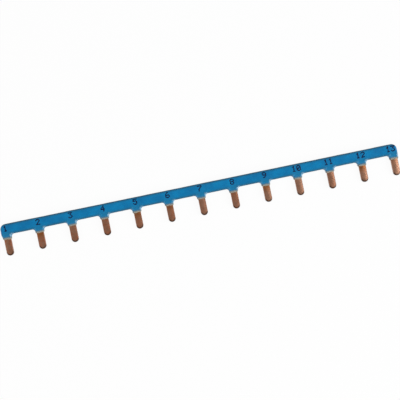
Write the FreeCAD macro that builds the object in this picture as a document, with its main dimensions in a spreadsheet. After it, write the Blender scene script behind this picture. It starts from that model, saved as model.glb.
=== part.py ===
import FreeCAD, Part
import math
import os
import Sketcher

# Comb busbar, pin type, one pole: a flat copper comb inside one dipped insulating coat.
# Millimetres. The part lies flat with the coat's back face on z = 0. The bar runs along X, the
# middle of its height is y = 0 and the pins point towards -Y. The pins are spaced evenly about
# x = 0, so with an odd number of them the middle pin's axis is x = 0.

# Driving sizes. The coat's outside is the comb's outline grown by the coat's thickness.
SIZES = {
    "pole_count": 13,
    "pole_pitch": 17.8,
    "bar_height": 5.0,
    "strip_thickness": 2.0,
    "pin_width": 3.8,
    "pin_length": 11.8,
    "root_radius": 2.0,
    "left_end_margin": 0.4,
    "right_end_margin": 0.1,
    "end_corner_radius": 2.5,
    "shear_corner_radius": 0.5,
    "edge_break": 0.3,
    "coat_thickness": 0.5,
    "coat_reach": 2.9,
    "lip_height": 0.5,
    "lip_wall": 0.13,
}

# Lengths that several features share, as expressions of the sheet
ROW_LENGTH = "((sizes.pole_count - 1) * sizes.pole_pitch)"
STRIP_LENGTH = "(sizes.pole_count * sizes.pole_pitch)"
FULL_COAT_END = "(sizes.bar_height / 2 + sizes.coat_reach - sizes.lip_height)"

# How much larger than the copper each form is all round
BARE = "0"
COATED = "sizes.coat_thickness"

# Edges closer to a place than this lie on it.
TOLERANCE = 1e-3

doc = FreeCAD.newDocument("comb_busbar")
sheet = doc.addObject("Spreadsheet::Sheet", "sizes")
for row, (alias, number) in enumerate(SIZES.items(), start=1):
    sheet.set(f"A{row}", alias)
    sheet.set(f"B{row}", str(number))
    sheet.setAlias(f"B{row}", alias)
doc.recompute()


def value(expression):
    """The number that an expression of the sheet's sizes has now."""
    return float(sheet.evalExpression(expression))


def origin_feature(body, role):
    """The body's own origin plane or axis with this role."""
    return next(item for item in body.Origin.OriginFeatures if item.Role == role)


def new_sketch(body, name, plane, **offset):
    """An empty sketch on one of the body's origin planes, moved in it by the given expressions."""
    sketch = body.newObject("Sketcher::SketchObject", name)
    sketch.AttachmentSupport = [(origin_feature(body, plane), "")]
    sketch.MapMode = "FlatFace"
    for axis, expression in offset.items():
        sketch.setExpression(f"AttachmentOffset.Base.{axis}", expression)
    return sketch


def constrain(sketch, kind, *where):
    return sketch.addConstraint(Sketcher.Constraint(kind, *where))


def dimension(sketch, name, expression, kind, *where):
    """A named dimension of the sketch that follows the sheet."""
    index = constrain(sketch, kind, *where, value(expression))
    sketch.renameConstraint(index, name)
    sketch.setExpression(f"Constraints.{name}", expression)


def line(sketch, start, end):
    segment = Part.LineSegment(FreeCAD.Vector(*start), FreeCAD.Vector(*end))
    return sketch.addGeometry(segment, False)


def arc(sketch, centre, radius, start_degrees, end_degrees):
    circle = Part.Circle(FreeCAD.Vector(*centre), FreeCAD.Vector(0, 0, 1), radius)
    turn = Part.ArcOfCircle(circle, math.radians(start_degrees), math.radians(end_degrees))
    return sketch.addGeometry(turn, False)


def draw_rectangle(sketch, width, height):
    """A rectangle centred on the sketch's origin."""
    x = value(width) / 2
    y = value(height) / 2
    lower = line(sketch, (-x, -y), (x, -y))
    right = line(sketch, (x, -y), (x, y))
    upper = line(sketch, (x, y), (-x, y))
    left = line(sketch, (-x, y), (-x, -y))
    for level, upright in ((lower, right), (upper, left)):
        constrain(sketch, "Horizontal", level)
        constrain(sketch, "Vertical", upright)
    for first, second in ((lower, right), (right, upper), (upper, left), (left, lower)):
        constrain(sketch, "Coincident", first, 2, second, 1)
    constrain(sketch, "Symmetric", lower, 1, upper, 1, -1, 1)
    dimension(sketch, "width", width, "DistanceX", lower, 1, lower, 2)
    dimension(sketch, "height", height, "DistanceY", right, 1, right, 2)


def draw_rounded_rectangle(sketch, width, height, radius):
    """A rectangle with equal round corners, centred on the sketch's origin."""
    x = value(width) / 2
    y = value(height) / 2
    corner = value(radius)
    inner_x = x - corner
    inner_y = y - corner
    outline = [
        line(sketch, (-inner_x, -y), (inner_x, -y)),
        arc(sketch, (inner_x, -inner_y), corner, 270, 360),
        line(sketch, (x, -inner_y), (x, inner_y)),
        arc(sketch, (inner_x, inner_y), corner, 0, 90),
        line(sketch, (inner_x, y), (-inner_x, y)),
        arc(sketch, (-inner_x, inner_y), corner, 90, 180),
        line(sketch, (-x, inner_y), (-x, -inner_y)),
        arc(sketch, (-inner_x, -inner_y), corner, 180, 270),
    ]
    for first, second in zip(outline, outline[1:] + outline[:1]):
        constrain(sketch, "Tangent", first, 2, second, 1)
    lower, lower_right, right, upper_right, upper, upper_left, left, lower_left = outline
    for level, upright in ((lower, right), (upper, left)):
        constrain(sketch, "Horizontal", level)
        constrain(sketch, "Vertical", upright)
    for corner_arc in (upper_right, upper_left, lower_left):
        constrain(sketch, "Equal", lower_right, corner_arc)
    constrain(sketch, "Symmetric", lower_left, 3, upper_right, 3, -1, 1)
    dimension(sketch, "radius", radius, "Radius", lower_right)
    dimension(sketch, "width", width, "DistanceX", left, 1, right, 2)
    dimension(sketch, "height", height, "DistanceY", lower, 1, upper, 2)


def draw_pin(sketch, width, reach):
    """A pin down from the sketch's X axis: two sides and a half-round tip that ends at reach."""
    radius = value(width) / 2
    tip_centre = radius - value(reach)
    left = line(sketch, (-radius, 0), (-radius, tip_centre))
    tip = arc(sketch, (0, tip_centre), radius, 180, 360)
    right = line(sketch, (radius, tip_centre), (radius, 0))
    across = line(sketch, (radius, 0), (-radius, 0))
    constrain(sketch, "Tangent", left, 2, tip, 1)
    constrain(sketch, "Tangent", tip, 2, right, 1)
    constrain(sketch, "Coincident", right, 2, across, 1)
    constrain(sketch, "Coincident", across, 2, left, 1)
    constrain(sketch, "Vertical", left)
    constrain(sketch, "Vertical", right)
    constrain(sketch, "Symmetric", across, 1, across, 2, -2)
    constrain(sketch, "PointOnObject", across, 1, -1)
    dimension(sketch, "width", width, "DistanceX", across, 2, across, 1)
    dimension(sketch, "tip", f"{reach} - {width} / 2", "DistanceY", tip, 3, across, 1)


def finish_feature(body, feature):
    """Makes the feature the body's tip, and stops where it failed."""
    body.Tip = feature
    doc.recompute()
    if "Invalid" in feature.State or "Error" in feature.State or feature.Shape.isNull():
        raise RuntimeError(f"{feature.Label} failed")
    return feature


def pad(body, name, sketch, length):
    feature = body.newObject("PartDesign::Pad", name)
    feature.Profile = sketch
    feature.setExpression("Length", length)
    return finish_feature(body, feature)


def cut_through(body, name, sketch):
    """Cuts the sketch's outline through the body, which lies above the sketch's plane."""
    before = body.Shape.Volume
    feature = body.newObject("PartDesign::Pocket", name)
    feature.Profile = sketch
    feature.Type = "ThroughAll"
    feature.Reversed = True
    finish_feature(body, feature)
    if feature.Shape.Volume > before - TOLERANCE:
        raise RuntimeError(f"{name} cuts nothing")
    return feature


def repeat_at_pins(body, name, original):
    """Repeats a feature of the first pin at every other pin."""
    feature = body.newObject("PartDesign::LinearPattern", name)
    feature.Originals = [original]
    feature.Direction = (origin_feature(body, "X_Axis"), [""])
    feature.setExpression("Length", ROW_LENGTH)
    feature.setExpression("Occurrences", "sizes.pole_count")
    return finish_feature(body, feature)


def dress_edges(body, kind, name, keep, size_name, size):
    """A fillet or chamfer of those edges of the body's tip whose bounding box passes keep."""
    base = body.Tip
    edges = enumerate(base.Shape.Edges, start=1)
    names = [f"Edge{number}" for number, edge in edges if keep(edge.BoundBox)]
    if not names:
        raise RuntimeError(f"{name} has no edge to work on")
    feature = body.newObject(kind, name)
    feature.Base = (base, names)
    feature.setExpression(size_name, size)
    return finish_feature(body, feature)


def fillet(body, name, radius, keep):
    return dress_edges(body, "PartDesign::Fillet", name, keep, "Radius", radius)


def chamfer(body, name, size, keep):
    return dress_edges(body, "PartDesign::Chamfer", name, keep, "Size", size)


def is_upright(box):
    """True for an edge that crosses the strip from face to face."""
    return box.XLength < TOLERANCE and box.YLength < TOLERANCE and box.ZLength > TOLERANCE


def is_flat(box):
    """True for an edge that lies in the strip's front or back face."""
    return box.ZLength < TOLERANCE


def comb_form(name, grow, shape_pins):
    """The comb's form, larger than the copper by grow all round: blanked, sheared and rounded."""
    body = doc.addObject("PartDesign::Body", name)
    half_height = f"(sizes.bar_height / 2 + {grow})"
    thickness = f"sizes.strip_thickness + 2 * {grow}"

    bar_profile = new_sketch(body, "bar_profile", "XY_Plane")
    draw_rectangle(bar_profile, STRIP_LENGTH, f"2 * {half_height}")
    pad(body, "bar", bar_profile, thickness)
    pin_profile = new_sketch(body, "pin_profile", "XY_Plane", x=f"-{ROW_LENGTH} / 2")
    shape_pins(pin_profile)
    first_pin = pad(body, "first_pin", pin_profile, thickness)
    repeat_at_pins(body, "pins", first_pin)

    # Every pin meets the bar's lower edge in a hollow round on both sides.
    edge_y = -value(half_height)
    strip_end = value(STRIP_LENGTH) / 2

    def is_root(box):
        on_edge = abs(box.YMax - edge_y) < TOLERANCE
        return is_upright(box) and on_edge and abs(box.XMax) < strip_end - TOLERANCE

    fillet(body, "root_rounds", f"sizes.root_radius - {grow}", is_root)

    # The strip is sheared off just outside the end pins, through the outer root rounds.
    scrap = "sizes.pole_pitch"
    ends = []
    for side, sign in (("left", "-1"), ("right", "1")):
        margin = f"sizes.{side}_end_margin"
        end = f"{sign} * ({ROW_LENGTH} / 2 + sizes.pin_width / 2 + {margin} + {grow})"
        scrap_profile = new_sketch(body, f"{side}_scrap", "XY_Plane", x=f"{end} + {sign} * {scrap} / 2")
        draw_rectangle(scrap_profile, scrap, f"4 * {half_height} + 2 * sizes.root_radius")
        cut_through(body, f"{side}_shear", scrap_profile)
        ends.append(value(end))

    def is_end(box):
        return is_upright(box) and any(abs(box.Center.x - end_x) < TOLERANCE for end_x in ends)

    fillet(body, "end_corners", f"sizes.end_corner_radius + {grow}",
           lambda box: is_end(box) and box.YMax > 0)
    fillet(body, "shear_corners", f"sizes.shear_corner_radius + {grow}",
           lambda box: is_end(box) and box.YMax < 0)
    return body


def make_copper_comb():
    """The bare conductor, one blanked strip, in the middle of the coat's thickness."""
    reach = "(sizes.bar_height / 2 + sizes.pin_length)"
    body = comb_form("copper_comb", BARE, lambda sketch: draw_pin(sketch, "sizes.pin_width", reach))
    chamfer(body, "broken_edges", "sizes.edge_break", is_flat)
    body.setExpression("Placement.Base.z", COATED)
    return body


def make_coat_outside():
    """The outside of the coat, with a thin trimmed lip where it ends on each pin."""
    width = f"(sizes.pin_width + 2 * {COATED})"
    thickness = f"(sizes.strip_thickness + 2 * {COATED})"
    round_over = f"(sizes.edge_break + {COATED})"

    def draw_root(sketch):
        sketch.setExpression("AttachmentOffset.Base.y", f"-{FULL_COAT_END} / 2")
        draw_rectangle(sketch, width, FULL_COAT_END)

    body = comb_form("coat_outside", COATED, draw_root)
    coat_end = -value(FULL_COAT_END)
    fillet(body, "round_over", round_over,
           lambda box: is_flat(box) and box.YMax > coat_end + TOLERANCE)

    lip_profile = new_sketch(body, "lip_profile", "XZ_Plane",
                             x=f"-{ROW_LENGTH} / 2", y=f"{thickness} / 2", z=FULL_COAT_END)
    draw_rounded_rectangle(lip_profile, width, thickness, round_over)
    first_lip = pad(body, "first_lip", lip_profile, "sizes.lip_height")
    first_lip.setExpression("TaperAngle", "-atan((sizes.coat_thickness - sizes.lip_wall) / sizes.lip_height)")
    finish_feature(body, first_lip)
    repeat_at_pins(body, "lips", first_lip)
    return body


def make_insulation_coat(outside, comb):
    """The coat itself: its outside less the comb that it was dipped over."""
    coat = doc.addObject("Part::Cut", "insulation_coat")
    coat.Base = outside
    coat.Tool = comb
    doc.recompute()
    return coat


copper_comb = make_copper_comb()
insulation_coat = make_insulation_coat(make_coat_outside(), copper_comb)
doc.recompute()

for item in doc.Objects:
    if "Invalid" in item.State or "Error" in item.State:
        raise RuntimeError(f"{item.Label} failed")

os.makedirs("parts", exist_ok=True)
for part in (copper_comb, insulation_coat):
    if part.Shape.isNull() or not part.Shape.isValid():
        raise RuntimeError(f"{part.Label} has no valid shape")
    part.Shape.exportStep(f"parts/{part.Label}.step")
    box = part.Shape.BoundBox
    print(part.Label, len(part.Shape.Solids), "solid", round(part.Shape.Volume, 2), "mm3",
          [round(number, 3) for number in (box.XMin, box.YMin, box.ZMin, box.XMax, box.YMax, box.ZMax)])
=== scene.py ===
"""The look of the comb busbar: a dipped blue coat, browned copper pins and small position numbers."""

import math

import bmesh
import bpy
import numpy as np
from mathutils import Matrix, Vector


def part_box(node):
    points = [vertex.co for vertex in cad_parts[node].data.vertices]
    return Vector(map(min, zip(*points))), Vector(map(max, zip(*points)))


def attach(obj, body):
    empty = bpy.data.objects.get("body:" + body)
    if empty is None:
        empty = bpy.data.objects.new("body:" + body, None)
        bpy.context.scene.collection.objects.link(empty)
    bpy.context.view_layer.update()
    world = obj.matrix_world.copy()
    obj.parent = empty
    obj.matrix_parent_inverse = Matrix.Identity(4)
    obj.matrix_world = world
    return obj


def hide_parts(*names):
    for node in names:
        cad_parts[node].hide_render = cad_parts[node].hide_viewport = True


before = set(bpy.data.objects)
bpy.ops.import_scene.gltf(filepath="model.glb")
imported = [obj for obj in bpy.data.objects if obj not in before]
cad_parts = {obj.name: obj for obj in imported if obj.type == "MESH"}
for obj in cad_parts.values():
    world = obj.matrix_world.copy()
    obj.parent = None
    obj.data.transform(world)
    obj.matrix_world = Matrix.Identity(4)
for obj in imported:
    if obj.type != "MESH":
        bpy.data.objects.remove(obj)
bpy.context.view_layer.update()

MM = 0.001
rng = np.random.default_rng(13)

# Settings that many nodes share
WHITE = (1, 1, 1, 1)
SMOOTH = {"interpolation_type": "SMOOTHSTEP"}
COLOURS = {"data_type": "RGBA"}
TIMES = {"operation": "MULTIPLY"}
TIMES_AND_ADD = {"operation": "MULTIPLY_ADD"}

# Places read from the frame, in millimetres
coat_low, coat_high = (np.array(corner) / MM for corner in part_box("insulation_coat"))
comb_low, comb_high = (np.array(corner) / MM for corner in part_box("copper_comb"))
FRONT_Z = coat_high[2]
MID_Z = (coat_low[2] + coat_high[2]) / 2
HALF_DEPTH = FRONT_Z - MID_Z
COAT_WALL = coat_high[2] - comb_high[2]
BAR_TOP = coat_high[1]
BAR_BOTTOM = -BAR_TOP
LIP_Y = coat_low[1]
PIN_TIP_Y = comb_low[1]
LEFT_END = coat_low[0]
RIGHT_END = coat_high[0]

# The pins, spaced evenly about x = 0
PIN_COUNT = 13
PIN_PITCH = 17.8
PIN_WIDTH = 3.8
PIN_X = (np.arange(PIN_COUNT) - (PIN_COUNT - 1) / 2) * PIN_PITCH

# The coat round a pin: its side, the fillet under the bar, and the trimmed lip
COAT_SIDE = PIN_WIDTH / 2 + COAT_WALL
ROOT_RADIUS = 1.5
LIP_HEIGHT = 0.5
LIP_WALL = 0.13
LIP_SIDE = PIN_WIDTH / 2 + LIP_WALL
LIP_DEPTH = HALF_DEPTH - COAT_WALL + LIP_WALL
LIP_CORNER = 0.43
RIM_RADIUS = 0.8
END_RADIUS = 3.0


def to_linear(hex_colour):
    """The linear colour of an sRGB hex value."""
    parts = [int(hex_colour[start:start + 2], 16) / 255 for start in (1, 3, 5)]
    line = [part / 12.92 if part <= 0.04045 else ((part + 0.055) / 1.055) ** 2.4 for part in parts]
    return (*line, 1.0)


def add_node(tree, kind, settings=None, **inputs):
    """Adds a node. Settings go on the node, and each input is a value or the socket it is linked to.

    An input is given by its name, with _ for a space, or as i and its place.
    """
    node = tree.nodes.new(kind)
    for name, setting in (settings or {}).items():
        setattr(node, name, setting)
    for name, given in inputs.items():
        key = int(name[1:]) if name[0] == "i" and name[1:].isdigit() else name.replace("_", " ")
        socket = node.inputs[key]
        if isinstance(given, bpy.types.NodeSocket):
            tree.links.new(given, socket)
        else:
            socket.default_value = given
    return node


def bare_tree(owner, output_kind):
    """The node tree of a material or of the world, emptied, and its new output."""
    owner.use_nodes = True
    tree = owner.node_tree
    tree.nodes.clear()
    return tree, tree.nodes.new(output_kind)


def add_object(name, data):
    """An object made of this data, linked into the scene."""
    thing = bpy.data.objects.new(name, data)
    bpy.context.scene.collection.objects.link(thing)
    return thing


def new_material(name):
    """A material with nothing but its shader and its output."""
    material = bpy.data.materials.new(name)
    tree, output = bare_tree(material, "ShaderNodeOutputMaterial")
    shader = add_node(tree, "ShaderNodeBsdfPrincipled")
    tree.links.new(shader.outputs[0], output.inputs["Surface"])
    return material, tree, shader


def place_camera():
    """Above the bar and a little to its left, turned so that the bar climbs to the right.

    Its distance is the pixel's size times the picture's pixels and the lens, over the sensor's width.
    """
    pitch_pixels = 32.96
    frame_pixels = 400
    pixel = PIN_PITCH * MM / pitch_pixels
    lens = 85.0
    sensor = 36.0
    distance = pixel * frame_pixels * lens / sensor
    target = Vector((-1.06, -5.72, FRONT_Z)) * MM
    lean_left = math.radians(1.25)
    turn = math.radians(-11.72)
    data = bpy.data.cameras.new("photo_camera")
    data.lens = lens
    data.sensor_width = sensor
    data.clip_start = 0.05
    data.clip_end = 20.0
    camera = add_object("photo_camera", data)
    lean = Matrix.Rotation(-lean_left, 4, "Y")
    back = lean @ Vector((0, 0, distance))
    camera.matrix_world = Matrix.Translation(target + back) @ lean @ Matrix.Rotation(turn, 4, "Z")
    bpy.context.scene.camera = camera


def add_area_light(name, place, width, height, watts):
    """A soft rectangular lamp, its width level, aimed at the middle of the bar."""
    data = bpy.data.lights.new(name, "AREA")
    data.shape = "RECTANGLE"
    data.size = width
    data.size_y = height
    data.energy = watts
    lamp = add_object(name, data)
    lamp.location = place
    direction = -lamp.location
    lamp.rotation_euler = direction.to_track_quat("-Z", "Y").to_euler()


def seen_directly(tree):
    """1 for rays from the camera, in reflections and through glass, and 0 for the rest."""
    path = tree.nodes.new("ShaderNodeLightPath")
    first = add_node(tree, "ShaderNodeMath", {"operation": "MAXIMUM"},
                     i0=path.outputs["Is Camera Ray"], i1=path.outputs["Is Glossy Ray"])
    both = add_node(tree, "ShaderNodeMath", {"operation": "MAXIMUM"},
                    i0=first.outputs[0], i1=path.outputs["Is Transmission Ray"])
    return both.outputs[0]


def light_studio():
    """A softbox at the right, a low strip lamp at each side and a white room.

    The room sheds a third of the light of a white one. In the picture and in reflections it is
    white at the walls, and it dims to a bit under half overhead, where the ceiling is grey.
    """
    add_area_light("right_softbox", place=(1.45, -0.2, 1.7), width=0.8, height=0.8, watts=16.0)
    add_area_light("right_strip", place=(0.85, -0.6, 0.5), width=1.3, height=0.25, watts=8.2)
    add_area_light("left_strip", place=(-0.9, -0.4, 0.8), width=0.9, height=0.3, watts=3.2)
    world = bpy.data.worlds.new("studio")
    bpy.context.scene.world = world
    tree, output = bare_tree(world, "ShaderNodeOutputWorld")
    direction = tree.nodes.new("ShaderNodeTexCoord")
    height = add_node(tree, "ShaderNodeSeparateXYZ", Vector=direction.outputs["Generated"])
    overhead = add_node(tree, "ShaderNodeMapRange", SMOOTH, Value=height.outputs["Z"],
                        From_Min=0.35, From_Max=0.92, To_Min=1.0, To_Max=0.45)
    room = add_node(tree, "ShaderNodeBackground", Color=WHITE, Strength=0.33)
    white = add_node(tree, "ShaderNodeBackground", Color=WHITE, Strength=overhead.outputs[0])
    seen = seen_directly(tree)
    mixed = add_node(tree, "ShaderNodeMixShader", i0=seen, i1=room.outputs[0], i2=white.outputs[0])
    tree.links.new(mixed.outputs[0], output.inputs["Surface"])


def lay_floor():
    """A plain white floor just under the bar.

    Seen directly it is mostly bare white, and its share of matt paper keeps a faint shadow.
    """
    half = 3.0
    gap = 0.02 * MM
    bare_white = 0.94
    mesh = bpy.data.meshes.new("floor")
    corners = [(-half, -half, 0), (half, -half, 0), (half, half, 0), (-half, half, 0)]
    mesh.from_pydata(corners, [], [(0, 1, 2, 3)])
    floor = add_object("floor", mesh)
    floor.location.z = -gap
    material = bpy.data.materials.new("white_paper_sweep")
    tree, output = bare_tree(material, "ShaderNodeOutputMaterial")
    matt = add_node(tree, "ShaderNodeBsdfDiffuse", Color=to_linear("#F4F4F4"))
    white = add_node(tree, "ShaderNodeEmission", Color=WHITE, Strength=1.0)
    seen = seen_directly(tree)
    share = add_node(tree, "ShaderNodeMath", TIMES, i0=seen, i1=bare_white)
    mixed = add_node(tree, "ShaderNodeMixShader", i0=share.outputs[0], i1=matt.outputs[0],
                     i2=white.outputs[0])
    tree.links.new(mixed.outputs[0], output.inputs["Surface"])
    mesh.materials.append(material)


def pin_places(tree, coords):
    """Sockets for the distance along x from the nearest pin's axis, for y, and for the pin's number.

    The first two are in millimetres, and the number counts from 0 at the middle pin.
    """
    parts = add_node(tree, "ShaderNodeSeparateXYZ", Vector=coords)
    along = add_node(tree, "ShaderNodeMath", {"operation": "DIVIDE"}, i0=parts.outputs["X"],
                     i1=PIN_PITCH * MM)
    number = add_node(tree, "ShaderNodeMath", {"operation": "ROUND"}, i0=along.outputs[0])
    beside = add_node(tree, "ShaderNodeMath", {"operation": "SUBTRACT"}, i0=along.outputs[0],
                      i1=number.outputs[0])
    across = add_node(tree, "ShaderNodeMath", TIMES, i0=beside.outputs[0], i1=PIN_PITCH)
    y_mm = add_node(tree, "ShaderNodeMath", {"operation": "DIVIDE"}, i0=parts.outputs["Y"], i1=MM)
    return across.outputs[0], y_mm.outputs[0], number.outputs[0]


def drifting_blue(tree, coords):
    """The film's blue, with slow changes about 5 mm across."""
    drift = add_node(tree, "ShaderNodeTexNoise", Vector=coords, Scale=1 / (5 * MM), Detail=3.0)
    drifts = add_node(tree, "ShaderNodeMapRange", Value=drift.outputs[0], From_Min=0.2, From_Max=0.8)
    drifted = add_node(tree, "ShaderNodeMix", COLOURS, Factor=drifts.outputs[0],
                       i6=to_linear("#006AA2"), i7=to_linear("#0085BD"))
    return drifted.outputs["Result"]


def root_share(tree, reach, y_mm):
    """How much a place belongs to a pin's root: most within 1.5 mm of the pin's axis, below the bar.

    It fades out 5 mm from the axis and half a millimetre above the bar's middle.
    """
    near = add_node(tree, "ShaderNodeMapRange", SMOOTH, Value=reach,
                    From_Min=5.0, From_Max=1.5, To_Min=0.0, To_Max=1.0)
    low = add_node(tree, "ShaderNodeMapRange", SMOOTH, Value=y_mm,
                   From_Min=0.5, From_Max=BAR_BOTTOM, To_Min=0.0, To_Max=0.8)
    pooled = add_node(tree, "ShaderNodeMath", TIMES, i0=near.outputs[0], i1=low.outputs[0])
    return pooled.outputs[0]


def blush_share(tree, coords, reach, across, y_mm):
    """Painted highlights: pale specks in the hollows beside the pins, where the rounded film catches the
    lamps.

    A hollow's middle lies hollow_out beside the coat's side and as far below the bar's edge, and it
    fades out 1.6 mm from there. The specks are about 0.7 mm wide. They are stronger at a pin's right,
    the side the main lamps are on, and only where the surface looks up or down.
    """
    hollow_out = 0.5
    beside = add_node(tree, "ShaderNodeMath", {"operation": "SUBTRACT"}, i0=reach,
                      i1=COAT_SIDE + hollow_out)
    under = add_node(tree, "ShaderNodeMath", {"operation": "ADD"}, i0=y_mm, i1=hollow_out - BAR_BOTTOM)
    offset = add_node(tree, "ShaderNodeCombineXYZ", X=beside.outputs[0], Y=under.outputs[0])
    away = add_node(tree, "ShaderNodeVectorMath", {"operation": "LENGTH"}, i0=offset.outputs[0])
    hollow = add_node(tree, "ShaderNodeMapRange", SMOOTH, Value=away.outputs["Value"],
                      From_Min=1.6, From_Max=0.3, To_Min=0.0, To_Max=1.0)
    specks = add_node(tree, "ShaderNodeTexNoise", Vector=coords, Scale=1 / (0.7 * MM), Detail=3.0)
    speck = add_node(tree, "ShaderNodeMapRange", Value=specks.outputs[0], From_Min=0.36, From_Max=0.58)
    rightward = add_node(tree, "ShaderNodeMapRange", Value=across, From_Min=-1.0, From_Max=1.0,
                         To_Min=0.2, To_Max=1.0)
    normal = tree.nodes.new("ShaderNodeNewGeometry").outputs["Normal"]
    facing = add_node(tree, "ShaderNodeSeparateXYZ", Vector=normal)
    level = add_node(tree, "ShaderNodeMath", {"operation": "ABSOLUTE"}, i0=facing.outputs["Z"])
    on_face = add_node(tree, "ShaderNodeMapRange", SMOOTH, Value=level.outputs[0],
                       From_Min=0.25, From_Max=0.85)
    # Painted highlight: pale specks on the shoulders, stronger towards the lamps at the right
    spotted = add_node(tree, "ShaderNodeMath", TIMES, i0=hollow.outputs[0], i1=speck.outputs[0])
    sided = add_node(tree, "ShaderNodeMath", TIMES, i0=spotted.outputs[0], i1=rightward.outputs[0])
    highlight = add_node(tree, "ShaderNodeMath", TIMES, i0=sided.outputs[0], i1=on_face.outputs[0])
    return highlight.outputs[0]


def thin_share(tree, pooled, y_mm):
    """Painted shade along the bar's two long edges, from 1.4 mm off the bar's middle outwards.

    It ends 0.6 mm past the edges, and the roots' share is taken off it.
    """
    from_middle = add_node(tree, "ShaderNodeMath", {"operation": "ABSOLUTE"}, i0=y_mm)
    edge = add_node(tree, "ShaderNodeMapRange", SMOOTH, Value=from_middle.outputs[0],
                    From_Min=1.4, From_Max=BAR_TOP, To_Min=0.0, To_Max=0.85)
    away = add_node(tree, "ShaderNodeMapRange", SMOOTH, Value=from_middle.outputs[0],
                    From_Min=BAR_TOP + 0.1, From_Max=BAR_TOP + 0.6, To_Min=1.0, To_Max=0.0)
    # Painted shade: a darker, greyer band where the rounded edges turn away from the light
    band = add_node(tree, "ShaderNodeMath", TIMES, i0=edge.outputs[0], i1=away.outputs[0])
    bare = add_node(tree, "ShaderNodeMath", {"operation": "SUBTRACT"}, i0=1.0, i1=pooled)
    edge_shade = add_node(tree, "ShaderNodeMath", TIMES, i0=band.outputs[0], i1=bare.outputs[0])
    return edge_shade.outputs[0]


def lip_shares(tree, coords, y_mm):
    """How greyed and how whitened the film is towards a trimmed lip, with a border ragged at 0.7 mm.

    Greying sets in 1.3 mm above the lip's start, and whitening 0.5 mm above it.
    """
    ragged = add_node(tree, "ShaderNodeTexNoise", Vector=coords, Scale=1 / (0.7 * MM), Detail=2.0)
    wander = add_node(tree, "ShaderNodeMath", TIMES_AND_ADD, i0=ragged.outputs[0], i1=0.5, i2=y_mm)
    lip_start = LIP_Y + LIP_HEIGHT + 0.45
    greyed = add_node(tree, "ShaderNodeMapRange", SMOOTH, Value=wander.outputs[0],
                      From_Min=lip_start + 1.3, From_Max=lip_start + 0.2, To_Min=0.0, To_Max=0.55)
    whitened = add_node(tree, "ShaderNodeMapRange", Value=wander.outputs[0],
                        From_Min=lip_start + 0.5, From_Max=lip_start - 0.3, To_Min=0.0, To_Max=1.0)
    return greyed.outputs[0], whitened.outputs[0]


def dipped_epoxy():
    """Epoxy powder coat, dipped and cured on the hot strip, then trimmed at the pins.

    To the eye it is an even blue with a half gloss and a slight orange peel. Painted shade darkens it
    along the long edges, and it is softer in tone where it has run together at the roots. Painted
    highlights speck the hollows beside the pins, and it is pale where it was trimmed.
    """
    material, tree, shader = new_material("dipped_blue_epoxy")
    coords = tree.nodes.new("ShaderNodeTexCoord").outputs["Object"]
    across, y_mm, _ = pin_places(tree, coords)
    reach = add_node(tree, "ShaderNodeMath", {"operation": "ABSOLUTE"}, i0=across).outputs[0]

    # One tint over the other, from the plain film to the trimmed lip
    pooled = root_share(tree, reach, y_mm)
    greyed, whitened = lip_shares(tree, coords, y_mm)
    tints = [
        (pooled, "#137EB0"),
        # Painted highlights in the hollows beside the pins
        (blush_share(tree, coords, reach, across, y_mm), "#B4D7E6"),
        # Painted shade along the bar's long edges
        (thin_share(tree, pooled, y_mm), "#29596A"),
        (greyed, "#4C6C78"),
        (whitened, "#928F82"),
    ]
    colour = drifting_blue(tree, coords)
    for share, tint in tints:
        mixed = add_node(tree, "ShaderNodeMix", COLOURS, Factor=share, i6=colour, i7=to_linear(tint))
        colour = mixed.outputs["Result"]
    tree.links.new(colour, shader.inputs["Base Color"])

    # Half gloss, duller where it was trimmed, with a weaker sheen than clear epoxy's
    rough = add_node(tree, "ShaderNodeMapRange", Value=whitened, To_Min=0.24, To_Max=0.7)
    tree.links.new(rough.outputs[0], shader.inputs["Roughness"])
    shader.inputs["IOR"].default_value = 1.34

    # Orange peel of about 2 mm, with a finer dust nib of 0.4 mm
    peel = add_node(tree, "ShaderNodeTexNoise", Vector=coords, Scale=1 / (2.0 * MM), Detail=1.0)
    dust = add_node(tree, "ShaderNodeTexNoise", Vector=coords, Scale=1 / (0.4 * MM), Detail=2.0)
    relief = add_node(tree, "ShaderNodeMath", TIMES_AND_ADD, i0=dust.outputs[0], i1=0.12,
                      i2=peel.outputs[0])
    bump = add_node(tree, "ShaderNodeBump", Height=relief.outputs[0], Distance=0.05 * MM, Strength=1.0)
    tree.links.new(bump.outputs[0], shader.inputs["Normal"])
    return material


def red_oxide_share(tree, coords, number):
    """Redder oxide in patches of about 1.6 mm, fading from the first pin to the last but one."""
    patch = add_node(tree, "ShaderNodeTexNoise", Vector=coords, Scale=1 / (1.6 * MM), Detail=3.0,
                     Distortion=0.4)
    patches = add_node(tree, "ShaderNodeMapRange", SMOOTH, Value=patch.outputs[0],
                       From_Min=0.38, From_Max=0.64)
    fading = add_node(tree, "ShaderNodeMapRange", Value=number, From_Min=-6.0, From_Max=5.0,
                      To_Min=0.85, To_Max=0.0)
    redness = add_node(tree, "ShaderNodeMath", TIMES, i0=patches.outputs[0], i1=fading.outputs[0])
    return redness.outputs[0]


def scratch_share(tree, coords):
    """Sparse scratches along the pins, about 0.1 mm wide and 3 mm long.

    The turn comes after the stretch, so it only keeps them off the noise's own grid.
    """
    stretched = add_node(tree, "ShaderNodeMapping", Vector=coords, Rotation=(0, 0, 0.2),
                         Scale=(1 / (0.1 * MM), 1 / (3 * MM), 1 / (0.5 * MM)))
    scratch = add_node(tree, "ShaderNodeTexNoise", Vector=stretched.outputs[0], Scale=1.0, Detail=1.0)
    scratches = add_node(tree, "ShaderNodeMapRange", Value=scratch.outputs[0],
                         From_Min=0.66, From_Max=0.74, To_Min=0.0, To_Max=0.5)
    return scratches.outputs[0]


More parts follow.
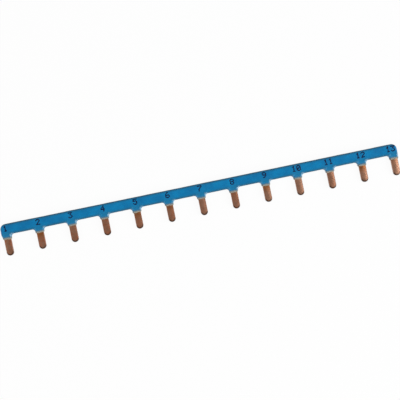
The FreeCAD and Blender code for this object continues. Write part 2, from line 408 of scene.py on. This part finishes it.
def orange_oxide_share(tree, number, y_mm):
    """Orange oxide by the coat, fading down the pin, on every third or fourth pin.

    A sine over the pins' numbers chooses them: it peaks at the second pin and every 3.4 pins after.
    """
    turn_per_pin = 1.848
    middle_turn = 4.528
    phase = add_node(tree, "ShaderNodeMath", TIMES_AND_ADD, i0=number, i1=turn_per_pin, i2=middle_turn)
    swing = add_node(tree, "ShaderNodeMath", {"operation": "SINE"}, i0=phase.outputs[0])
    chosen = add_node(tree, "ShaderNodeMapRange", Value=swing.outputs[0], From_Min=-0.3, From_Max=1.0,
                      To_Min=0.0, To_Max=0.8)
    by_root = add_node(tree, "ShaderNodeMapRange", SMOOTH, Value=y_mm,
                       From_Min=-10.0, From_Max=LIP_Y, To_Min=0.0, To_Max=1.0)
    warmth = add_node(tree, "ShaderNodeMath", TIMES, i0=chosen.outputs[0], i1=by_root.outputs[0])
    return warmth.outputs[0]


def worn_tip_share(tree, across, y_mm):
    """Painted shade: a dark rim that deepens over 0.9 mm towards the half-round tip's border, faint up
    the sides.

    It goes by the distance from the tip's centre below that centre, and from the axis above it.
    """
    tip_centre = PIN_TIP_Y + PIN_WIDTH / 2
    below = add_node(tree, "ShaderNodeMath", {"operation": "SUBTRACT"}, i0=y_mm, i1=tip_centre)
    downward = add_node(tree, "ShaderNodeMath", {"operation": "MINIMUM"}, i0=below.outputs[0], i1=0.0)
    place = add_node(tree, "ShaderNodeCombineXYZ", X=across, Y=downward.outputs[0])
    radius = add_node(tree, "ShaderNodeVectorMath", {"operation": "LENGTH"}, i0=place.outputs[0])
    rim = add_node(tree, "ShaderNodeMapRange", SMOOTH, Value=radius.outputs["Value"],
                   From_Min=PIN_WIDTH / 2 - 1.1, From_Max=PIN_WIDTH / 2 - 0.2, To_Min=0.0, To_Max=0.9)
    at_tip = add_node(tree, "ShaderNodeMapRange", SMOOTH, Value=y_mm,
                      From_Min=tip_centre + 0.6, From_Max=tip_centre - 0.9, To_Min=0.15, To_Max=1.0)
    # Painted shade: darkest at the tip's border, where the end face turns away from the light
    tip_shade = add_node(tree, "ShaderNodeMath", TIMES, i0=rim.outputs[0], i1=at_tip.outputs[0])
    return tip_shade.outputs[0]


def browned_copper():
    """Rolled and sheared copper strip that has browned in air and from the curing oven.

    To the eye it is a dull brown metal with faint rolling lines and scratches along the pins, redder
    in patches, with an orange oxide near some roots, and painted shade as a dark rim round the tips.
    """
    material, tree, shader = new_material("browned_rolled_copper")
    coords = tree.nodes.new("ShaderNodeTexCoord").outputs["Object"]
    across, y_mm, number = pin_places(tree, coords)

    # Rolling lines 0.12 mm wide and some 4 mm long
    stretched = add_node(tree, "ShaderNodeMapping", Vector=coords,
                         Scale=(1 / (0.12 * MM), 1 / (4 * MM), 1 / (0.8 * MM)))
    streak = add_node(tree, "ShaderNodeTexNoise", Vector=stretched.outputs[0], Scale=1.0, Detail=3.0)
    streaks = add_node(tree, "ShaderNodeMapRange", Value=streak.outputs[0], From_Min=0.35, From_Max=0.65)
    streaked = add_node(tree, "ShaderNodeMix", COLOURS, Factor=streaks.outputs[0],
                        i6=to_linear("#A3755C"), i7=to_linear("#AA7D65"))

    # Cloudy oxide, about 2.5 mm across
    cloud = add_node(tree, "ShaderNodeTexNoise", Vector=coords, Scale=1 / (2.5 * MM), Detail=4.0)
    clouds = add_node(tree, "ShaderNodeMapRange", Value=cloud.outputs[0], From_Min=0.45, From_Max=0.75,
                      To_Min=0.0, To_Max=0.6)

    # Each pin has browned a little differently
    luck = add_node(tree, "ShaderNodeTexWhiteNoise", {"noise_dimensions": "1D"}, W=number)
    paler = add_node(tree, "ShaderNodeMath", TIMES, i0=luck.outputs[0], i1=0.35)

    # One tint over the other, from the oxide to the painted shade round the tips
    tints = [
        (clouds.outputs[0], "#7E523F"),
        (red_oxide_share(tree, coords, number), "#B06545"),
        (scratch_share(tree, coords), "#CFA389"),
        (paler.outputs[0], "#B79079"),
        (orange_oxide_share(tree, number, y_mm), "#9C5A22"),
        # Painted shade round the tips
        (worn_tip_share(tree, across, y_mm), "#34241C"),
    ]
    colour = streaked.outputs["Result"]
    for share, tint in tints:
        mixed = add_node(tree, "ShaderNodeMix", COLOURS, Factor=share, i6=colour, i7=to_linear(tint))
        colour = mixed.outputs["Result"]
    tree.links.new(colour, shader.inputs["Base Color"])
    shader.inputs["Metallic"].default_value = 1.0

    # Duller where the oxide is thick, and changing from one rolling line to the next
    dull = add_node(tree, "ShaderNodeMath", TIMES_AND_ADD, i0=streak.outputs[0], i1=0.6,
                    i2=cloud.outputs[0])
    rough = add_node(tree, "ShaderNodeMapRange", Value=dull.outputs[0], From_Min=0.6, From_Max=1.0,
                     To_Min=0.24, To_Max=0.46)
    tree.links.new(rough.outputs[0], shader.inputs["Roughness"])

    # Rolling lines and small pits, some 0.006 mm deep, on a face that blanking left crowned
    # It falls by 0.045 mm times the square of the millimetres from the axis, 0.16 mm at the sides
    pits = add_node(tree, "ShaderNodeTexNoise", Vector=coords, Scale=1 / (0.3 * MM), Detail=2.0)
    lines = add_node(tree, "ShaderNodeMath", TIMES_AND_ADD, i0=pits.outputs[0], i1=0.5,
                     i2=streak.outputs[0])
    square = add_node(tree, "ShaderNodeMath", TIMES, i0=across, i1=across)
    fall = add_node(tree, "ShaderNodeMath", TIMES, i0=square.outputs[0], i1=-0.045)
    relief = add_node(tree, "ShaderNodeMath", TIMES_AND_ADD, i0=lines.outputs[0], i1=0.006,
                      i2=fall.outputs[0])
    bump = add_node(tree, "ShaderNodeBump", Height=relief.outputs[0], Distance=MM, Strength=1.0)
    tree.links.new(bump.outputs[0], shader.inputs["Normal"])
    return material


def marking_ink():
    """Ink-jet marking ink: a matt blue-black that has soaked a little into the coat's gloss."""
    material, tree, shader = new_material("ink_jet_marking")
    coords = tree.nodes.new("ShaderNodeTexCoord").outputs["Object"]
    patchy = add_node(tree, "ShaderNodeTexNoise", Vector=coords, Scale=1 / (0.5 * MM), Detail=2.0)
    colour = add_node(tree, "ShaderNodeMix", COLOURS, Factor=patchy.outputs[0],
                      i6=to_linear("#010F33"), i7=to_linear("#031A45"))
    tree.links.new(colour.outputs["Result"], shader.inputs["Base Color"])
    shader.inputs["Roughness"].default_value = 0.6
    shader.inputs["IOR"].default_value = 1.25
    return material


def wave_field(size, count):
    """Seeded sine waves: how many lie in a millimetre along x and along y, and their phases.

    Their directions are any, and their lengths are 0.7 to 1.6 times the size, in millimetres.
    """
    angle = rng.uniform(0, 2 * np.pi, count)
    length = size * rng.uniform(0.7, 1.6, count)
    phase = rng.uniform(0, 2 * np.pi, count)
    return np.cos(angle) / length, np.sin(angle) / length, phase


def waves(field, x, y):
    """The sum of the field's sine waves at x and y, over the root of twice their number.

    So it lies mostly between -1 and 1.
    """
    per_x, per_y, phase = field
    turns = np.multiply.outer(x, per_x) + np.multiply.outer(y, per_y)
    return np.sin(2 * np.pi * turns + phase).sum(-1) / np.sqrt(2 * len(phase))


def smooth_step(value):
    """0 below 0, 1 above 1, and between them 3 times the square less twice the cube."""
    share = np.clip(value, 0, 1)
    return share * share * (3 - 2 * share)


FRONT_WAVES = wave_field(size=9.0, count=9)
BACK_WAVES = wave_field(size=9.0, count=9)
EDGE_WAVES = wave_field(size=6.0, count=7)
LIP_WAVES = wave_field(size=1.3, count=5)

# The film's unevenness: its waves, and the hump on each shoulder, out from the pin and up from the edge
FILM_WAVE = 0.03
HUMP_HEIGHT = 0.2
HUMP_RADIUS = 1.0
HUMP_OUT = 0.3
HUMP_UP = 0.2
BACK_SUNK = 0.22

# How finely the coat is divided
LIP_STATIONS = 9
ROOT_STATIONS = 11
BAR_STATIONS = 8
END_STATIONS = 16
RIM_POINTS = 8
FACE_POINTS = 14


def film_lift(field, x, y):
    """How much thicker than its mean the coat is, in millimetres, at x and y on a face.

    Slow waves, and more where the film has run together in the hollows beside each pin: a round
    hump with its middle on the shoulder, which falls off as a bell curve of the distance.
    """
    beside = np.abs(x - np.round(x / PIN_PITCH) * PIN_PITCH)
    from_hollow = np.hypot(beside - COAT_SIDE - HUMP_OUT, y - BAR_BOTTOM - HUMP_UP)
    hump = HUMP_HEIGHT * np.exp(-(from_hollow / HUMP_RADIUS) ** 2)
    return FILM_WAVE * waves(field, x, y) + hump


def stations(outer_x, outer_y, inner_x, inner_y, depth, roundness):
    """One row for each station, with the six values side by side and single values repeated."""
    return np.stack(np.broadcast_arrays(outer_x, outer_y, inner_x, inner_y, depth, roundness), 1)


def half_root(margin=None):
    """The coat's lower outline from a pin's axis at x = 0 to the middle of the gap at its right.

    It runs along the lip, up the lip's taper and the side of the pin, round a quarter circle under
    the bar and along the bar. Where a margin is given it ends the bar instead: it swings out by the
    margin in a smooth step and climbs to the middle of the bar's end. Each station has its point on
    the outline, its point one rim's width further in, where the flat face starts, half the depth
    of the coat's outer edge, and how round its rim is.
    """
    sweep = np.sin(np.linspace(0, np.pi / 2, LIP_STATIONS))
    lip_x = LIP_SIDE * sweep
    over = np.clip(lip_x - LIP_SIDE + LIP_CORNER, 0, LIP_CORNER)
    lip_depth = LIP_DEPTH - LIP_CORNER + np.sqrt(LIP_CORNER ** 2 - over ** 2)
    lip_top = LIP_Y + LIP_HEIGHT
    face_x = COAT_SIDE - RIM_RADIUS
    rows = [stations(lip_x, LIP_Y, face_x * sweep, lip_top, lip_depth, over / LIP_CORNER)]

    # Halfway up the lip's taper, at its top, and halfway up the pin's side
    # The flat face's corner is rounded by these: it rises, and draws in by a fifth of that
    edge_depth = HALF_DEPTH - RIM_RADIUS
    round_start = BAR_BOTTOM - ROOT_RADIUS
    side_x = np.array([(LIP_SIDE + COAT_SIDE) / 2, COAT_SIDE, COAT_SIDE])
    side_y = np.array([LIP_Y + LIP_HEIGHT / 2, lip_top, (lip_top + round_start) / 2])
    rise = np.array([0.06, 0.14, 0.3])
    rows.append(stations(side_x, side_y, face_x - 0.2 * rise, lip_top + rise, edge_depth, 1))

    if margin is None:
        turn = np.linspace(0, np.pi / 2, ROOT_STATIONS)
        centre_x = COAT_SIDE + ROOT_RADIUS
        wide = ROOT_RADIUS + RIM_RADIUS
        outer_x = centre_x - ROOT_RADIUS * np.cos(turn)
        outer_y = round_start + ROOT_RADIUS * np.sin(turn)
        inner_x = centre_x - wide * np.cos(turn)
        inner_y = round_start + wide * np.sin(turn)
        rows.append(stations(outer_x, outer_y, inner_x, inner_y, edge_depth, 1))
        along = np.linspace(centre_x, PIN_PITCH / 2, BAR_STATIONS)[1:]
        rows.append(stations(along, BAR_BOTTOM, along, BAR_BOTTOM + RIM_RADIUS, edge_depth, 1))
    else:
        swing_height = 1.3 * ROOT_RADIUS
        climb = np.linspace(round_start, BAR_TOP - END_RADIUS, END_STATIONS)
        out = COAT_SIDE + margin * smooth_step((climb - round_start) / swing_height)
        rows.append(stations(out, climb, out - RIM_RADIUS, climb, edge_depth, 1))
    return np.concatenate(rows)


def lower_outline():
    """The halves of all the roots in a row, from the middle of the left end to that of the right.

    A left half is a right half mirrored and turned end for end, and each root is moved to its pin.
    The second list has the place of each pin's axis among the stations.
    """
    mirror = np.array([-1, 1, -1, 1, 1, 1])
    along_x = np.array([1, 0, 1, 0, 0, 0])
    gap_half = half_root()
    left_margin = PIN_X[0] - COAT_SIDE - LEFT_END
    right_margin = RIGHT_END - COAT_SIDE - PIN_X[-1]
    rows = []
    axes = []
    for number, pin_x in enumerate(PIN_X):
        left = half_root(left_margin) if number == 0 else gap_half
        right = half_root(right_margin) if number == PIN_COUNT - 1 else gap_half
        skip = 0 if number == 0 else 1
        root = np.concatenate([(left * mirror)[::-1][skip:], right[1:]])
        axes.append(sum(map(len, rows)) + len(left) - 1 - skip)
        rows.append(root + pin_x * along_x)
    return np.concatenate(rows), axes


def upper_outline(distance):
    """Points on the coat's upper outline at distances along it from the middle of the left end.

    It is a quarter circle, a straight edge and a quarter circle. The second array is one rim's
    width further in, on the same spokes.
    """
    quarter = END_RADIUS * np.pi / 2
    straight = RIGHT_END - LEFT_END - 2 * END_RADIUS
    first_turn = np.clip(distance / END_RADIUS, 0, np.pi / 2)
    second_turn = np.clip((distance - quarter - straight) / END_RADIUS, 0, np.pi / 2)
    angle = np.pi - first_turn - second_turn
    spoke = np.stack([np.cos(angle), np.sin(angle)], 1)
    centre_x = LEFT_END + END_RADIUS + np.clip(distance - quarter, 0, straight)
    centre = np.stack([centre_x, np.full_like(centre_x, BAR_TOP - END_RADIUS)], 1)
    return centre + END_RADIUS * spoke, centre + (END_RADIUS - RIM_RADIUS) * spoke


def rim_profile(outer, inner, depth, roundness):
    """Points from the middle of the coat's edge up over its rim to where the flat face starts.

    A round rim is a quarter circle from the edge to the face, a lip's rim is a straight taper, and
    between them the two are mixed. The result has a row of x, y and height for each station.
    """
    turn = np.linspace(0, np.pi / 2, RIM_POINTS)
    straight = turn / (np.pi / 2)
    blend = roundness[:, None]
    inward = blend * (1 - np.cos(turn)) + (1 - blend) * straight
    upward = blend * np.sin(turn) + (1 - blend) * straight
    flat = outer[:, None] + inward[..., None] * (inner - outer)[:, None]
    height = depth[:, None] + upward * (HALF_DEPTH - depth)[:, None]
    rim = np.concatenate([flat, height[..., None]], 2)
    middle = np.concatenate([outer, np.zeros((len(outer), 1))], 1)
    return np.concatenate([middle[:, None], rim], 1)


def coat_half_shell():
    """One face of the coat with its rims, as a grid of stations across and points from edge to edge.

    Each station of the lower outline is paired with a point of the upper one, so that a pin's axis
    meets the point right above it. In between, the upper distances follow the travel along the
    lower outline, where climbing counts a quarter, and straight rows of points join the two rims.
    """
    lower, axes = lower_outline()
    step = np.abs(np.diff(lower[:, :2], axis=0)) @ np.array([1.0, 0.25])
    travel = np.concatenate([[0], np.cumsum(step)])
    quarter = END_RADIUS * np.pi / 2
    whole = 2 * quarter + RIGHT_END - LEFT_END - 2 * END_RADIUS
    marks = np.concatenate([[0], PIN_X - LEFT_END - END_RADIUS + quarter, [whole]])
    distance = np.interp(travel, np.concatenate([[0], travel[axes], [travel[-1]]]), marks)
    upper_outer, upper_inner = upper_outline(distance)

    lower_rim = rim_profile(lower[:, 0:2], lower[:, 2:4], lower[:, 4], lower[:, 5])
    edge_depth = np.full(len(lower), HALF_DEPTH - RIM_RADIUS)
    upper_rim = rim_profile(upper_outer, upper_inner, edge_depth, np.ones(len(lower)))
    share = np.linspace(0, 1, FACE_POINTS)[1:-1, None]
    across = lower_rim[:, -1:] + share * (upper_rim[:, -1:] - lower_rim[:, -1:])
    return np.concatenate([lower_rim, across, upper_rim[:, ::-1]], 1)


def weathered(points, field, sunk=0.0):
    """The grid with the uneven film of a dipped coat: faces lifted, edges and lips a little off true.

    A point moves outwards by the film's lift less sunk, times its share of the half depth, and sunk
    keeps the back's humps above the floor. Outlines wander by about 0.02 mm along the bar and 0.03 mm
    across it. Each lip is cut up to 0.08 mm high or low and slants by up to 0.05 mm for a millimetre,
    both changing from pin to pin, and short waves of 0.09 mm make it ragged.
    """
    x, y, height = np.moveaxis(points, -1, 0)
    face = height / HALF_DEPTH
    lifted = height + face * (film_lift(field, x, y) - sunk)
    lip_zone = 1.2
    lip = smooth_step((LIP_Y + lip_zone - y) / lip_zone)
    pin = np.round(x / PIN_PITCH)
    slant = 0.05 * np.sin(pin * 2.4) * (x - pin * PIN_PITCH)
    trim = 0.08 * np.cos(pin * 1.7) + slant + 0.09 * waves(LIP_WAVES, x, np.zeros_like(x))
    moved_x = x + 0.02 * waves(EDGE_WAVES, x, y)
    moved_y = y + 0.03 * waves(EDGE_WAVES, y, x) + lip * trim
    return np.stack([moved_x, moved_y, lifted], -1)


def new_piece(name, vertices, faces, material):
    """A mesh object at the origin, its places given in millimetres."""
    mesh = bpy.data.meshes.new(name)
    mesh.from_pydata((vertices * MM).tolist(), [], faces)
    mesh.materials.append(material)
    return add_object(name, mesh)


def close_mesh(piece):
    """Merges the seams, drops faces of no area, turns the faces outwards and shades them smooth.

    Edges that turn by more than the sharp angle stay sharp.
    """
    seam = 0.0005 * MM
    no_area = 0.0002 * MM
    sharp = math.radians(60)
    form = bmesh.new()
    form.from_mesh(piece.data)
    bmesh.ops.remove_doubles(form, verts=form.verts, dist=seam)
    bmesh.ops.dissolve_degenerate(form, dist=no_area, edges=form.edges)
    bmesh.ops.recalc_face_normals(form, faces=form.faces)
    open_edges = sum(not edge.is_manifold for edge in form.edges)
    print(piece.name, len(form.faces), "faces,", open_edges, "open edges")
    form.to_mesh(piece.data)
    form.free()
    piece.data.shade_smooth()
    piece.data.set_sharp_from_angle(angle=sharp)


def dip_coat(material):
    """The coat's skin: the front shell and its mirror image at the back, joined round the edges.

    The grid wraps round each station's section: up over the front, then down the back. The first
    and last stations fold flat where the lower and upper outlines meet, and their seams are merged.
    """
    shell = coat_half_shell()
    front = weathered(shell, FRONT_WAVES)
    back = weathered(shell * np.array([1, 1, -1]), BACK_WAVES, sunk=BACK_SUNK)
    grid = np.concatenate([front, back[:, -2:0:-1]], 1) + np.array([0, 0, MID_Z])
    rows, around = grid.shape[:2]
    number = np.arange(rows * around).reshape(rows, around)
    here = number[:-1]
    beyond = number[1:]
    faces = np.stack([here, np.roll(here, -1, 1), np.roll(beyond, -1, 1), beyond], -1).reshape(-1, 4)
    skin = new_piece("dipped_coat", grid.reshape(-1, 3), faces.tolist(), material)
    close_mesh(skin)
    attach(skin, "root")
    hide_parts("insulation_coat")


# The marking head's figures, seven rows of five dots
FIGURES = {
    "0": ".###. #...# #..## #.#.# ##..# #...# .###.",
    "1": "..#.. .##.. ..#.. ..#.. ..#.. ..#.. .###.",
    "2": ".###. #...# ....# ...#. ..#.. .#... #####",
    "3": "##### ...#. ..#.. ...#. ....# #...# .###.",
    "4": "...#. ..##. .#.#. #..#. ##### ...#. ...#.",
    "5": "##### #.... ####. ....# ....# #...# .###.",
    "6": "..##. .#... #.... ####. #...# #...# .###.",
    "7": "##### ....# ...#. ..#.. .#... .#... .#...",
    "8": ".###. #...# #...# .###. #...# #...# .###.",
    "9": ".###. #...# #...# .#### ....# ...#. .##..",
}
FIGURE_ROWS = 7
FIGURE_COLUMNS = 5
FIGURE_STEP = 6
NUMBER_Y = 0.45
NUMBER_MARGIN = 1.4

# A dot of ink: a low dome with its rim a little inside the coat, closed by a point still deeper
DOT_PITCH = 0.44
DOT_WIDTH = 0.78
DOT_SIDES = 12
DOT_RISE = 0.015
SHOULDER_RISE = 0.011
SHOULDER_WIDTH = 0.8
RIM_SINK = 0.02
BASE_SINK = 0.03
DOT_SCATTER = 0.02


def dot_places():
    """The middle of every ink dot of the numbers 1 to 13, each over its pin and clear of the end."""
    places = []
    for number, pin_x in enumerate(PIN_X, start=1):
        figures = str(number)
        reach = ((len(figures) - 1) * FIGURE_STEP + FIGURE_COLUMNS - 1) / 2 * DOT_PITCH
        middle = min(pin_x, RIGHT_END - NUMBER_MARGIN - reach)
        for place, figure in enumerate(figures):
            for row, dots in enumerate(FIGURES[figure].split()):
                columns = np.array([column for column, dot in enumerate(dots) if dot == "#"])
                x = middle - reach + (place * FIGURE_STEP + columns) * DOT_PITCH
                y = np.full(len(columns), NUMBER_Y + ((FIGURE_ROWS - 1) / 2 - row) * DOT_PITCH)
                places.append(np.stack([x, y], 1))
    return np.concatenate(places)


def print_numbers(material):
    """Position numbers in ink-jet dots, all one mesh that follows the coat's front face.

    A dot is a rim inside the coat, a shoulder ring, a middle that stands proud, and a point below
    that closes it. Each dot is a little off its place and its size.
    """
    angle = np.linspace(0, 2 * np.pi, DOT_SIDES, endpoint=False)
    ring = np.stack([np.cos(angle), np.sin(angle), np.zeros(DOT_SIDES)], 1)
    radius = DOT_WIDTH / 2
    dome = np.concatenate([
        ring * radius + (0, 0, -RIM_SINK),
        ring * SHOULDER_WIDTH * radius + (0, 0, SHOULDER_RISE),
        [(0, 0, DOT_RISE), (0, 0, -BASE_SINK)],
    ])
    here = np.arange(DOT_SIDES)
    after = (here + 1) % DOT_SIDES
    wall = np.stack([here, after, after + DOT_SIDES, here + DOT_SIDES], 1)
    top = np.stack([here + DOT_SIDES, after + DOT_SIDES, np.full(DOT_SIDES, 2 * DOT_SIDES)], 1)
    base = np.stack([after, here, np.full(DOT_SIDES, 2 * DOT_SIDES + 1)], 1)

    centres = dot_places()
    centres = centres + rng.normal(0, DOT_SCATTER, centres.shape)
    spread = rng.uniform(0.88, 1.1, len(centres))
    shape = dome[None] * np.stack([spread, spread, np.ones_like(spread)], 1)[:, None]
    points = shape + np.concatenate([centres, np.zeros((len(centres), 1))], 1)[:, None]
    surface = FRONT_Z + film_lift(FRONT_WAVES, centres[:, 0], centres[:, 1])
    points[..., 2] += surface[:, None]
    first = (np.arange(len(centres)) * len(dome))[:, None, None]
    walls = (wall + first).reshape(-1, 4)
    caps = (np.concatenate([top, base]) + first).reshape(-1, 3)
    ink = new_piece("position_numbers", points.reshape(-1, 3), walls.tolist() + caps.tolist(), material)
    close_mesh(ink)
    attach(ink, "root")


def dress_node(name, material):
    """Gives a CAD node one material in place of its own."""
    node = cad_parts[name]
    node.data.materials.clear()
    node.data.materials.append(material)


bpy.context.scene.view_settings.view_transform = "Standard"
place_camera()
light_studio()
lay_floor()
dress_node("copper_comb", browned_copper())
dip_coat(dipped_epoxy())
print_numbers(marking_ink())
